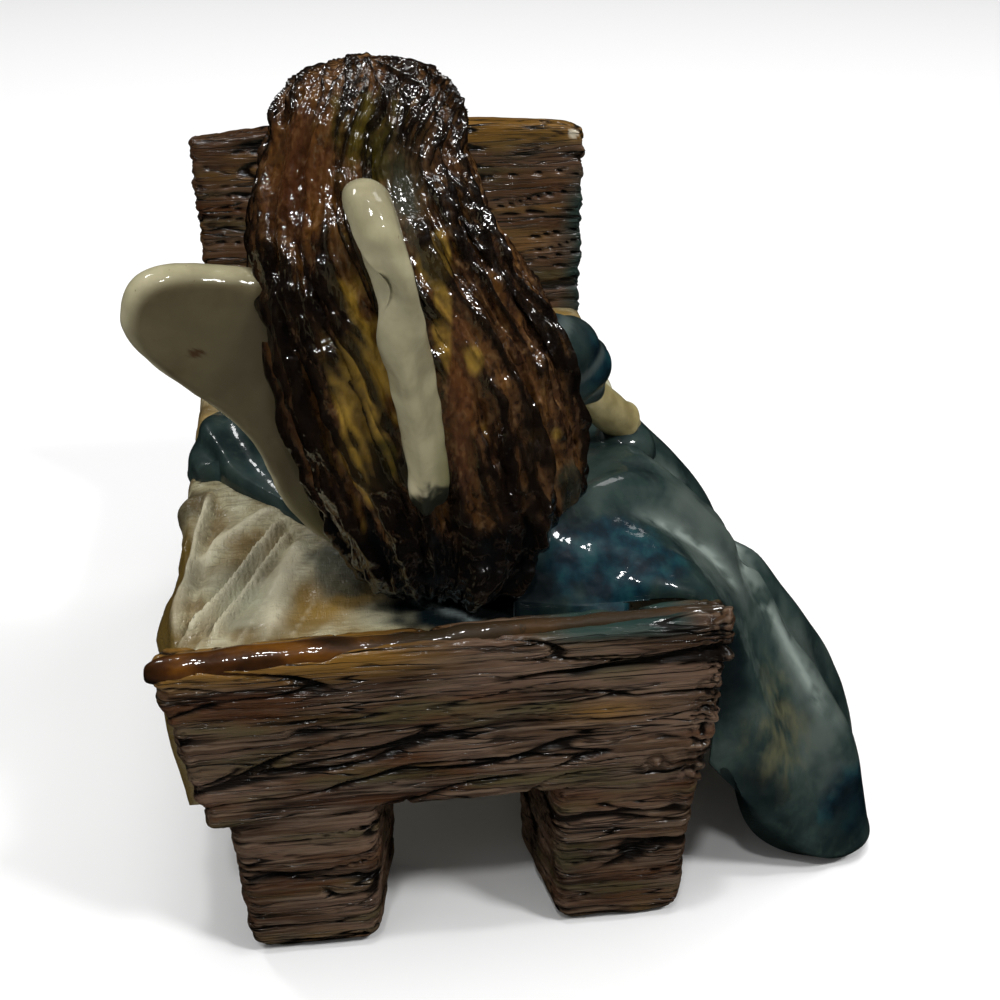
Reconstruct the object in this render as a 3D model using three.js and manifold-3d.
// An angel with long hair sits on a small plank bed with its back to the foot board.
// The figure, its two wings, its gown, the bedspread and the four-legged bed are clay pressed
// together and fired as one glazed piece, so the part is one solid. Millimetres, +Z up.
// X runs across the bed, Y from the foot board to the head board.
import * as THREE from "three";
import { mergeVertices } from "three/addons/utils/BufferGeometryUtils.js";
import Module from "manifold-3d";

// The bed
const BED_WIDTH = 115;
const BED_LENGTH = 172;
const BOARD_THICKNESS = 9;
const BOARD_BOTTOM = 42.8;
const FOOT_BOARD_TOP = 85.3;
const HEAD_BOARD_TOP = 137.8;
const FOOT_BOARD_TAPER = 7;
const GRAIN_DEPTH = 0.9;
const RIM_RADIUS = 4.6;
const LEG_WIDTH = 31;
const LEG_DEPTH = 30;
const LEG_TAPER = 1.8;
const LEG_INSET_LEFT = 10;
const LEG_INSET_RIGHT = 4;
const LEG_OVERLAP = 6;
const LEG_ROUNDING = 1.6;
const LEG_FLARE = 5;

// The bedspread that covers the seat of the bed and hangs down its two sides
const SEAT_HEIGHT = 82.3;
const SEAT_THICKNESS = 13;
const SPREAD_HEM = 43.8;
const SPREAD_FLAP = 5.5;
const SPREAD_FOLD = 1.6;
const SPREAD_FOLDS = 6;

// The figure: its pose is given from a point on the seat, and scales with its height
const FIGURE_HEIGHT = 110;
const FIGURE_FROM_FOOT_BOARD = 24;
const GOWN_THICKNESS = 6;
const GOWN_FOLD = 2.6;
const HEM_CLEARANCE = 2.5;
const HAIR_LOCKS = 17;
const LOCK_RELIEF = 2.6;
const WING_THICKNESS = 9;
const WING_EDGE = 2.6;

// Worked out from the sizes above
const BED_EDGE = BED_WIDTH / 2;
const FOOT_BOARD_Y = -BED_LENGTH / 2;
const HEAD_BOARD_Y = BED_LENGTH / 2;
const FOOT_INNER_Y = FOOT_BOARD_Y + BOARD_THICKNESS / 2;
const HEAD_INNER_Y = HEAD_BOARD_Y - BOARD_THICKNESS / 2;
const SEAT_BOTTOM = SEAT_HEIGHT - SEAT_THICKNESS;
const FIGURE_Y = FOOT_INNER_Y + FIGURE_FROM_FOOT_BOARD;
const FIGURE_SCALE = FIGURE_HEIGHT / 110;

const wasm = await Module();
wasm.setup();

// Runs softly from 0 where x is at first to 1 where it is at last
function smooth(first, last, x) {
  const t = THREE.MathUtils.clamp((x - first) / (last - first), 0, 1);
  return t * t * (3 - 2 * t);
}

const bump = (distance, reach) => Math.exp(-((distance / reach) ** 2));

// A point of the figure: x and y from its seat point, z above the seat
function onFigure(x, y, z) {
  return new THREE.Vector3(x, y, z).multiplyScalar(FIGURE_SCALE).add(new THREE.Vector3(0, FIGURE_Y, SEAT_HEIGHT));
}

// A closed geometry as a solid, its faces turned outward
function solidOf(geometry) {
  const bare = geometry.clone();
  for (const name of ["normal", "uv"]) bare.deleteAttribute(name);
  const merged = mergeVertices(bare, 1e-3);
  const vertProperties = new Float32Array(merged.attributes.position.array);
  const triVerts = new Uint32Array(merged.index.array);
  const solid = new wasm.Manifold(new wasm.Mesh({ numProp: 3, vertProperties, triVerts }));
  if (solid.volume() > 0) return solid;
  return new wasm.Manifold(new wasm.Mesh({ numProp: 3, vertProperties, triVerts: triVerts.reverse() }));
}

// The solid as a geometry again
function geometryOf(solid) {
  const mesh = solid.getMesh();
  const geometry = new THREE.BufferGeometry();
  geometry.setAttribute("position", new THREE.BufferAttribute(mesh.vertProperties, 3));
  geometry.setIndex(new THREE.BufferAttribute(mesh.triVerts, 1));
  geometry.computeVertexNormals();
  return geometry;
}

// Moves each vertex of a geometry to where place(vertex) says
function reshape(geometry, place) {
  const position = geometry.attributes.position;
  const vertex = new THREE.Vector3();
  for (let i = 0; i < position.count; i++) {
    vertex.fromBufferAttribute(position, i);
    const moved = place(vertex);
    position.setXYZ(i, moved.x, moved.y, moved.z);
  }
  return geometry;
}

// A closed form drawn on a sphere: place(turn, along) gives the point at a share of a turn
// round it and a share of the way from its first pole to its last
function wrap(around, steps, place) {
  return reshape(new THREE.SphereGeometry(1, around, steps), (v) => {
    const turn = Math.atan2(v.z, v.x) / (2 * Math.PI);
    return place(turn, Math.acos(THREE.MathUtils.clamp(v.y, -1, 1)) / Math.PI);
  });
}

// A closed sheet between an outer and an inner surface, each given as point(across, along)
function sheet(outer, inner, nAcross, nAlong) {
  const points = [];
  for (const surface of [outer, inner])
    for (let j = 0; j <= nAlong; j++)
      for (let i = 0; i <= nAcross; i++) points.push(...surface(i / nAcross, j / nAlong).toArray());
  const at = (side, i, j) => side * (nAcross + 1) * (nAlong + 1) + j * (nAcross + 1) + i;
  const index = [];
  const quad = (a, b, c, d) => index.push(a, b, c, a, c, d);
  for (let j = 0; j < nAlong; j++)
    for (let i = 0; i < nAcross; i++) {
      quad(at(0, i, j), at(0, i + 1, j), at(0, i + 1, j + 1), at(0, i, j + 1));
      quad(at(1, i, j), at(1, i, j + 1), at(1, i + 1, j + 1), at(1, i + 1, j));
    }
  for (let i = 0; i < nAcross; i++) {
    quad(at(0, i, 0), at(1, i, 0), at(1, i + 1, 0), at(0, i + 1, 0));
    quad(at(0, i, nAlong), at(0, i + 1, nAlong), at(1, i + 1, nAlong), at(1, i, nAlong));
  }
  for (let j = 0; j < nAlong; j++) {
    quad(at(0, 0, j), at(0, 0, j + 1), at(1, 0, j + 1), at(1, 0, j));
    quad(at(0, nAcross, j), at(1, nAcross, j), at(1, nAcross, j + 1), at(0, nAcross, j + 1));
  }
  const geometry = new THREE.BufferGeometry();
  geometry.setAttribute("position", new THREE.Float32BufferAttribute(points, 3));
  geometry.setIndex(index);
  return geometry;
}

// A surface through a net of points: net[k] is the k-th line of points
function netSurface(net) {
  const lines = net.map((points) => new THREE.CatmullRomCurve3(points, false, "catmullrom", 0.5));
  return (across, along) => {
    const row = lines.map((line) => line.getPoint(across));
    return new THREE.CatmullRomCurve3(row, false, "catmullrom", 0.5).getPoint(along);
  };
}

// A plank with long grain ridges on both faces, one to every second row, that wander up and
// down along it. halfWidth(share) gives half its width at a share of its height
function plank(y, bottom, top, halfWidth, columns, rows, topLine) {
  const box = new THREE.BoxGeometry(2, BOARD_THICKNESS, 1, columns, 1, rows);
  return reshape(box, (v) => {
    const share = v.z + 0.5;
    const row = Math.round(share * rows);
    const within = Math.sin(Math.PI * share);
    const wander = 2.2 * Math.sin(2.3 * v.x + 0.9 * row) + 1.2 * Math.sin(5 * v.x - 0.6 * row);
    const z = THREE.MathUtils.lerp(bottom, top + topLine(v.x), share) + wander * within;
    const ridge = GRAIN_DEPTH * (row % 2 ? 1 : -1) * (0.7 + 0.5 * Math.sin(3.1 * v.x + 1.7 * row));
    const round = 1.6 * (smooth(0.94, 1, share) + 0.6 * smooth(0.04, 0, share));
    const end = 0.8 * (row % 2 ? 1 : -1) * smooth(0.95, 1, Math.abs(v.x));
    const thick = Math.abs(v.y) + (ridge - round) * (row > 0 && row < rows ? 1 : 0.5);
    return new THREE.Vector3(v.x * halfWidth(share) + end * Math.sign(v.x), y + Math.sign(v.y) * thick, z);
  });
}

function footBoard() {
  const half = (share) => BED_EDGE - FOOT_BOARD_TAPER * (1 - share) ** 1.4;
  return plank(FOOT_BOARD_Y, BOARD_BOTTOM, FOOT_BOARD_TOP, half, 8, 13, (x) => 1.5 * x);
}

function headBoard() {
  const half = () => BED_EDGE - 1;
  return plank(HEAD_BOARD_Y, BOARD_BOTTOM, HEAD_BOARD_TOP, half, 7, 25, (x) => 3 * (1 - x * x));
}

// The rounded bead along the foot board's top edge, thick at its left end and thin at its right
function footRim() {
  return wrap(8, 14, (turn, along) => {
    const x = THREE.MathUtils.lerp(-BED_EDGE - 3, BED_EDGE, (1 - Math.cos(Math.PI * along)) / 2);
    const radius = RIM_RADIUS * (1.1 - 0.35 * along) * Math.sqrt(Math.sin(Math.PI * along));
    const z = FOOT_BOARD_TOP - 2.8 + (1.5 * x) / BED_EDGE;
    const y = FOOT_BOARD_Y - 1.2 + 1.2 * along;
    const angle = 2 * Math.PI * turn;
    return new THREE.Vector3(x, y + radius * Math.cos(angle), z + radius * Math.sin(angle));
  });
}

// A block leg under a board. side is -1 or 1 across the bed, end is -1 at the foot and 1 at the head
function leg(side, end) {
  const height = BOARD_BOTTOM + LEG_OVERLAP;
  const inset = side < 0 ? LEG_INSET_LEFT : LEG_INSET_RIGHT;
  const x = side * (BED_EDGE - inset - LEG_WIDTH / 2);
  const y = end * (BED_LENGTH / 2 - LEG_DEPTH / 2 + BOARD_THICKNESS / 2 - 1.5);
  const box = new THREE.BoxGeometry(LEG_WIDTH, LEG_DEPTH, height, 2, 2, 6);
  return reshape(box, (v) => {
    const share = v.z / height + 0.5;
    const foot = LEG_ROUNDING * (1 - smooth(0, 0.1, share));
    const narrow = 1 - (LEG_TAPER * (1 - share) + foot) / (LEG_WIDTH / 2);
    const toInside = 0.5 - (side * v.x) / LEG_WIDTH;
    const inward = -side * LEG_FLARE * (0.5 - (end * v.y) / LEG_DEPTH) * toInside;
    const ripple = 0.6 * Math.sin(share * 21 + side);
    return new THREE.Vector3(x + v.x * narrow + inward, y + v.y * narrow + ripple * (v.y / LEG_DEPTH), share * height);
  });
}

// The bedspread's cross-section from its left hem over the seat to its right hem
function spreadProfile(inset, seat, hem) {
  const edge = BED_EDGE - inset;
  const corner = Math.min(8, seat - hem);
  const at = (x, z) => new THREE.Vector3(x, 0, z);
  return new THREE.CatmullRomCurve3(
    [
      at(-edge, hem),
      at(-edge - 1, (hem + seat) / 2),
      at(-edge + 0.5, seat - corner * 0.6),
      at(-edge + corner * 0.75, seat - 0.6),
      at(-edge / 2, seat),
      at(0, seat + 0.3),
      at(edge / 2, seat),
      at(edge - corner * 0.75, seat - 0.6),
      at(edge - 0.5, seat - corner * 0.6),
      at(edge + 1, (hem + seat) / 2),
      at(edge, hem),
    ],
    false,
    "catmullrom",
    0.5,
  );
}

// How high the folds stand that run from the figure's left hip to the foot board's left corner
function hipFold(x, y) {
  const hip = onFigure(-31, 24, 0);
  const run = new THREE.Vector2(-BED_EDGE + 5 - hip.x, FOOT_INNER_Y - hip.y);
  const length = run.length();
  run.normalize();
  const along = ((x - hip.x) * run.x + (y - hip.y) * run.y) / length;
  const aside = (x - hip.x) * run.y - (y - hip.y) * run.x;
  const reach = smooth(-0.15, 0.1, along) * smooth(1.15, 0.6, along) * FIGURE_SCALE;
  const off = aside / FIGURE_SCALE;
  return reach * (3.4 * bump(off, 3.2) + 1.8 * bump(off + 12 * along + 2, 2.6));
}

function bedspread() {
  const top = spreadProfile(0, SEAT_HEIGHT, SPREAD_HEM);
  const under = spreadProfile(SPREAD_FLAP, SEAT_BOTTOM, SPREAD_HEM);
  const reach = HEAD_INNER_Y - FOOT_INNER_Y + BOARD_THICKNESS * 0.6;
  const layer = (profile, fold) => (across, along) => {
    const point = profile.getPoint(across);
    const y = FOOT_INNER_Y - BOARD_THICKNESS * 0.3 + reach * along;
    const hanging = smooth(SEAT_HEIGHT - 6, SPREAD_HEM, point.z);
    const wave = Math.cos(2 * Math.PI * SPREAD_FOLDS * along + 2 * Math.sign(point.x));
    const x = point.x + Math.sign(point.x) * SPREAD_FOLD * hanging * (wave - 1) * 0.7;
    return new THREE.Vector3(x, y, point.z + fold * (1 - hanging) * hipFold(point.x, y));
  };
  return sheet(layer(top, 1), layer(under, 0), 20, 14);
}

// The gown's skirt as lines from the waist to the hem, from the figure's left round its front
// to the foot board. Points with a drop lie beyond the bed's right edge: their x is the distance
// from that edge and their height a share of the seat's
function gownLines() {
  const on = (x, y, z) => onFigure(x, y, z);
  const off = (x, y, share) =>
    new THREE.Vector3(BED_EDGE + x * FIGURE_SCALE, FIGURE_Y + y * FIGURE_SCALE, share * SEAT_HEIGHT);
  return [
    [on(-14, -2, 4), on(-26, 18, 3), on(-40, 34, 4), on(-49, 44, 5), on(-54, 47, 1), on(-56, 48, -5)],
    [on(-10, 8, 14), on(-24, 32, 11), on(-38, 52, 10), on(-49, 60, 9), on(-55, 62, 4), on(-57, 62, -4)],
    [on(-4, 16, 17), on(-14, 42, 13), on(-26, 66, 9), on(-33, 80, 6), on(-37, 86, 2), on(-39, 88, -2)],
    [on(4, 20, 18), on(2, 48, 14), on(0, 74, 9), on(-2, 90, 6), on(-3, 97, 2), on(-3, 100, -2)],
    [on(14, 20, 18), on(24, 44, 15), on(32, 66, 11), on(37, 80, 7), on(40, 87, 2), on(41, 90, -2)],
    [on(20, 14, 18), on(38, 34, 15), off(-6, 56, 1.1), off(4, 62, 0.82), off(10, 66, 0.42), off(13, 68, 0.05)],
    [on(24, 8, 18), on(44, 24, 16), off(4, 36, 1.05), off(16, 42, 0.75), off(26, 46, 0.38), off(31, 48, 0.03)],
    [on(26, 2, 18), on(46, 18, 17), off(5, 18, 1.02), off(24, 20, 0.72), off(41, 23, 0.36), off(49, 25, 0.04)],
    [on(26, -3, 18), on(47, 11, 17), off(8, 11, 1.03), off(25, 5, 0.75), off(43, 9, 0.38), off(52, 11, 0.04)],
    [on(25, -8, 19), on(46, 5, 17), off(10, 4, 0.98), off(25, -4, 0.69), off(39, -12, 0.36), off(45, -16, 0.06)],
    [on(22, -12, 17), on(40, -6, 15), off(4, -10, 0.97), off(18, -14, 0.6), off(29, -18, 0.3), off(34, -21, 0.05)],
    [on(20, -15, 13), on(37, -15, 12), off(-1, -18, 1.0), off(9, -20, 0.75), off(15, -22, 0.5), off(17, -23, 0.24)],
    [on(16, -17, 9), on(32, -19, 8), off(-6, -20, 1.05), off(1, -21, 0.86), off(2, -22, 0.66), off(1, -23, 0.48)],
  ];
}

// The same lines on the gown's inner side: inside the seat, and a clay wall in from the drape
function gownInnerLines(lines) {
  const core = SEAT_BOTTOM + SEAT_THICKNESS / 3;
  return lines.map((line) =>
    line.map((point, k) => {
      const beyond = smooth(BED_EDGE - 4, BED_EDGE + 10, point.x);
      const before = line[Math.max(k - 1, 0)];
      const after = line[Math.min(k + 1, line.length - 1)];
      const fall = new THREE.Vector2(Math.hypot(after.x - before.x, after.y - before.y), after.z - before.z).normalize();
      const out = new THREE.Vector2(after.x - before.x, after.y - before.y).normalize();
      const wall = new THREE.Vector3(
        point.x + GOWN_THICKNESS * fall.y * out.x,
        point.y + GOWN_THICKNESS * fall.y * out.y,
        Math.max(point.z - GOWN_THICKNESS * fall.x, Math.min(point.z, 2)),
      );
      const inSeat = new THREE.Vector3(
        Math.max(point.x, -BED_EDGE + SPREAD_FLAP),
        Math.max(point.y, FOOT_INNER_Y + 2),
        core,
      );
      return inSeat.lerp(wall, beyond);
    }),
  );
}

function gown() {
  const lines = gownLines();
  const outer = netSurface(lines);
  const inner = netSurface(gownInnerLines(lines));
  const folded = (across, along) => {
    const point = outer(across, along);
    const beyond = smooth(BED_EDGE - 2, BED_EDGE + 25 * FIGURE_SCALE, point.x);
    const wave = Math.cos(2 * Math.PI * 8 * along);
    return point.setX(point.x + GOWN_FOLD * beyond * wave).setZ(Math.max(point.z + beyond * wave * 0.6, HEM_CLEARANCE));
  };
  const raised = (across, along) => {
    const point = inner(across, along);
    return point.setZ(Math.max(point.z, HEM_CLEARANCE));
  };
  return sheet(folded, raised, 10, 33);
}

// The round of the knee under the hand
function knee() {
  const centre = onFigure(46, 26, 11);
  return reshape(new THREE.SphereGeometry(8 * FIGURE_SCALE, 10, 7), (v) => v.clone().add(centre));
}

// Rings up the figure: height above the seat, x, y, half width, depth behind, depth in front
const HAIR_RINGS = [
  [107.5, -9.5, 13, 0, 0, 0],
  [106, -9.5, 13, 9, 8, 7],
  [99, -9.8, 12, 15.5, 14, 12],
  [88, -9.8, 10, 21, 19, 15],
  [75, -8.3, 6, 25, 21, 13],
  [57, -2.3, 1, 30.5, 21, 9],
  [36, 1.8, -3, 30.5, 19, 7],
  [18, 5, -5, 28, 16, 6],
  [5, 4, -6.5, 19, 13, 5],
  [0, 3.5, -7, 0, 0, 0],
];

// A share of the way along a list of rings, read off a smooth curve through them
function ringAt(rings, share) {
  const low = rings.map((r) => new THREE.Vector3(r[0], r[1], r[2]));
  const high = rings.map((r) => new THREE.Vector3(r[3], r[4], r[5]));
  const a = new THREE.CatmullRomCurve3(low, false, "catmullrom", 0.5).getPoint(share);
  const b = new THREE.CatmullRomCurve3(high, false, "catmullrom", 0.5).getPoint(share);
  return { z: a.x, x: a.y, y: a.z, half: Math.max(b.x, 0), behind: Math.max(b.y, 0), before: Math.max(b.z, 0) };
}

// Long hair: a cap on the head that falls in locks behind the shoulders to the seat. It parts
// round the right wing, and the mass on that wing's right stands out
function hair() {
  return wrap(52, 18, (turn, along) => {
    const ring = ringAt(HAIR_RINGS, along);
    const even = 2 * Math.PI * turn;
    const angle = even - 0.4 * Math.cos(even);
    const back = smooth(-0.2, 0.4, -Math.sin(angle));
    const fallen = smooth(0.12, 0.3, along);
    const sway = 0.12 * Math.sin(6 * along) + 0.1 * along;
    const lock = Math.abs(Math.cos(HAIR_LOCKS * (angle / 2 + sway)));
    const relief = (LOCK_RELIEF / FIGURE_SCALE) * (lock - 0.6) * (0.4 + 0.6 * fallen) * (0.3 + 0.7 * back);
    const parting = -3 * bump(angle + 1.72, 0.16) * fallen * smooth(0.97, 0.8, along);
    const mass = 2.4 * smooth(-1.65, -1.45, angle) * smooth(0.2, -0.5, angle) * smooth(0.3, 0.38, along);
    const depth = Math.sin(angle) < 0 ? ring.behind : ring.before;
    const grow = 1 + (relief + parting + mass * smooth(0.97, 0.8, along)) / Math.max(ring.half, 8);
    return onFigure(ring.x + ring.half * Math.cos(angle) * grow, ring.y + depth * Math.sin(angle) * grow, ring.z);
  });
}

// One wing's outline: a round tip on a broad root. Distances out from the spine and up from the
// seat. tuck draws the lower lobe in toward the spine
function wingShape(tuck) {
  const outline = [
    [0, 12], [10, 6], [17, 9], [24, 18], [28, 29], [32, 36], [38, 43], [46, 51], [51.5, 58],
    [53, 64], [50.5, 70], [44, 72.5], [34, 71.5], [22, 69], [8, 66], [0, 58],
  ];
  const drawn = outline.map(([out, up]) => new THREE.Vector2(out - tuck * smooth(50, 10, up), up + tuck * smooth(30, 10, up)));
  const curve = new THREE.SplineCurve(drawn);
  return new THREE.Shape().setFromPoints(curve.getPoints(24));
}

// A wing standing out from the spine. heading turns it about the upright, lift raises its tip,
// lean tips its top edge aside and bow cups it
function wing({ tuck, heading, lift, lean, bow, root }) {
  const thickness = WING_THICKNESS / FIGURE_SCALE;
  const edge = WING_EDGE / FIGURE_SCALE;
  const slab = new THREE.ExtrudeGeometry(wingShape(tuck), {
    depth: thickness - 2 * edge,
    curveSegments: 1,
    steps: 1,
    bevelThickness: edge,
    bevelSize: edge,
    bevelOffset: -edge,
    bevelSegments: 2,
  });
  slab.translate(0, -38, edge - thickness / 2);
  reshape(slab, (v) => new THREE.Vector3(v.x, v.y, v.z + bow * (1 - (v.y / 34) ** 2)));
  slab.rotateZ(lift);
  slab.rotateX(Math.PI / 2 + lean);
  slab.rotateZ(heading);
  slab.scale(FIGURE_SCALE, FIGURE_SCALE, FIGURE_SCALE);
  const at = onFigure(...root);
  return slab.translate(at.x, at.y, at.z);
}

// The figure faces between the head board and the bed's right side
const FACING = THREE.MathUtils.degToRad(48);
const HEAD_FACING = THREE.MathUtils.degToRad(58);

// The head with a plain face: brow, nose, lips and chin
function head() {
  const centre = onFigure(-5.5, 15.5, 84);
  return wrap(22, 17, (turn, along) => {
    const angle = 2 * Math.PI * turn;
    const high = Math.cos(Math.PI * along);
    const level = Math.sin(Math.PI * along);
    const front = Math.max(Math.cos(angle), 0) * level;
    const jaw = 1 - 0.22 * smooth(0, -1, high);
    const nose = 2.6 * bump(angle, 0.14) * bump(high + 0.08, 0.2);
    const sockets = -1.1 * bump(Math.abs(angle) - 0.42, 0.24) * bump(high - 0.1, 0.14);
    const lips = 0.9 * bump(angle, 0.26) * bump(high + 0.46, 0.1);
    const chin = 1.2 * bump(angle, 0.35) * bump(high + 0.8, 0.2);
    const out = 1 + (nose + sockets + lips + chin) / 15;
    const forward = 15 * level * Math.cos(angle) * out + 1.5 * front;
    const aside = 13 * level * Math.sin(angle) * jaw * out;
    const x = forward * Math.cos(HEAD_FACING) - aside * Math.sin(HEAD_FACING);
    const y = forward * Math.sin(HEAD_FACING) + aside * Math.cos(HEAD_FACING);
    return new THREE.Vector3(x, y, 18 * high).multiplyScalar(FIGURE_SCALE).add(centre);
  });
}

// Rings up the body: height above the seat, x, y, half width, depth behind, depth in front
const BODY_RINGS = [
  [74, -6, 12, 0, 0, 0],
  [70, -6, 12, 5.5, 5.5, 5.5],
  [62, -5, 11, 6.5, 6.5, 6],
  [55, -3, 9, 16, 9, 9],
  [46, -1, 7, 19, 10, 12],
  [32, 2, 4, 15, 10, 12],
  [20, 4, 2, 17, 12, 13],
  [4, 6, 0, 20, 14, 16],
  [-4, 6, 0, 0, 0, 0],
];

function body() {
  return wrap(14, 11, (turn, along) => {
    const ring = ringAt(BODY_RINGS, along);
    const angle = 2 * Math.PI * turn;
    const aside = ring.half * Math.sin(angle);
    const forward = (Math.cos(angle) > 0 ? ring.before : ring.behind) * Math.cos(angle);
    const x = ring.x + forward * Math.cos(FACING) - aside * Math.sin(FACING);
    const y = ring.y + forward * Math.sin(FACING) + aside * Math.cos(FACING);
    return onFigure(x, y, ring.z);
  });
}

// A limb: a round rod along a curve, whose radius follows a list
function limb(points, radii, around, steps) {
  const curve = new THREE.CatmullRomCurve3(points.map((p) => onFigure(...p)), false, "catmullrom", 0.5);
  const thick = new THREE.CatmullRomCurve3(radii.map((r, k) => new THREE.Vector3(r, k, 0)), false, "catmullrom", 0.5);
  return wrap(around, steps, (turn, along) => {
    const share = (1 - Math.cos(Math.PI * along)) / 2;
    const centre = curve.getPoint(share);
    const ahead = curve.getTangent(share);
    const side = new THREE.Vector3(-ahead.y, ahead.x, 0).normalize();
    const over = new THREE.Vector3().crossVectors(ahead, side);
    const radius = thick.getPoint(share).x * FIGURE_SCALE * Math.sqrt(Math.sin(Math.PI * along));
    const angle = -2 * Math.PI * turn;
    return centre.addScaledVector(side, radius * Math.cos(angle)).addScaledVector(over, radius * Math.sin(angle));
  });
}

function arms() {
  return [
    limb([[10, -3, 52], [25, 8, 46], [31, 16, 38], [35, 20, 31]], [7, 9, 9.5, 6], 9, 7),
    limb([[30, 16, 37], [38, 21, 28], [45, 26, 20], [49, 29, 16]], [4.5, 4.6, 4.4, 3.8], 8, 7),
    limb([[-12, 18, 51], [-17, 30, 43], [-15, 39, 35], [-10, 44, 29]], [7, 8, 8, 6], 9, 7),
    limb([[-13, 42, 33], [-2, 46, 25], [10, 46, 18], [18, 43, 15]], [4.4, 4.4, 4.4, 3.8], 8, 7),
  ];
}

// The outermost shell of a solid, so that no bubble is left sealed inside the clay
function withoutBubbles(solid) {
  const shells = solid.decompose().sort((a, b) => b.volume() - a.volume());
  return shells[0];
}

// Everything joined
const clay = [
  footBoard(),
  headBoard(),
  footRim(),
  ...[-1, 1].flatMap((side) => [-1, 1].map((end) => leg(side, end))),
  bedspread(),
  gown(),
  knee(),
  hair(),
  wing({ tuck: 0, heading: Math.PI + 0.2, lift: 0.03, lean: 0, bow: 1.5, root: [-7, 4, 38] }),
  wing({ tuck: 5, heading: -Math.PI / 2 - 0.02, lift: 0.4, lean: 0.13, bow: -3, root: [-6, -4, 49] }),
  head(),
  body(),
  ...arms(),
].map(solidOf);
const fired = geometryOf(withoutBubbles(clay.reduce((whole, piece) => whole.add(piece))));

// The origin is under the middle of the part's box
fired.computeBoundingBox();
const middle = fired.boundingBox.getCenter(new THREE.Vector3());
fired.translate(-middle.x, -middle.y, -fired.boundingBox.min.z);

const glaze = new THREE.MeshStandardMaterial({ color: 0x4a3628, roughness: 0.3, metalness: 0 });
const figurine = new THREE.Mesh(fired, glaze);
figurine.name = "angel_figurine";

const part = new THREE.Group();
part.add(figurine);
export default part;
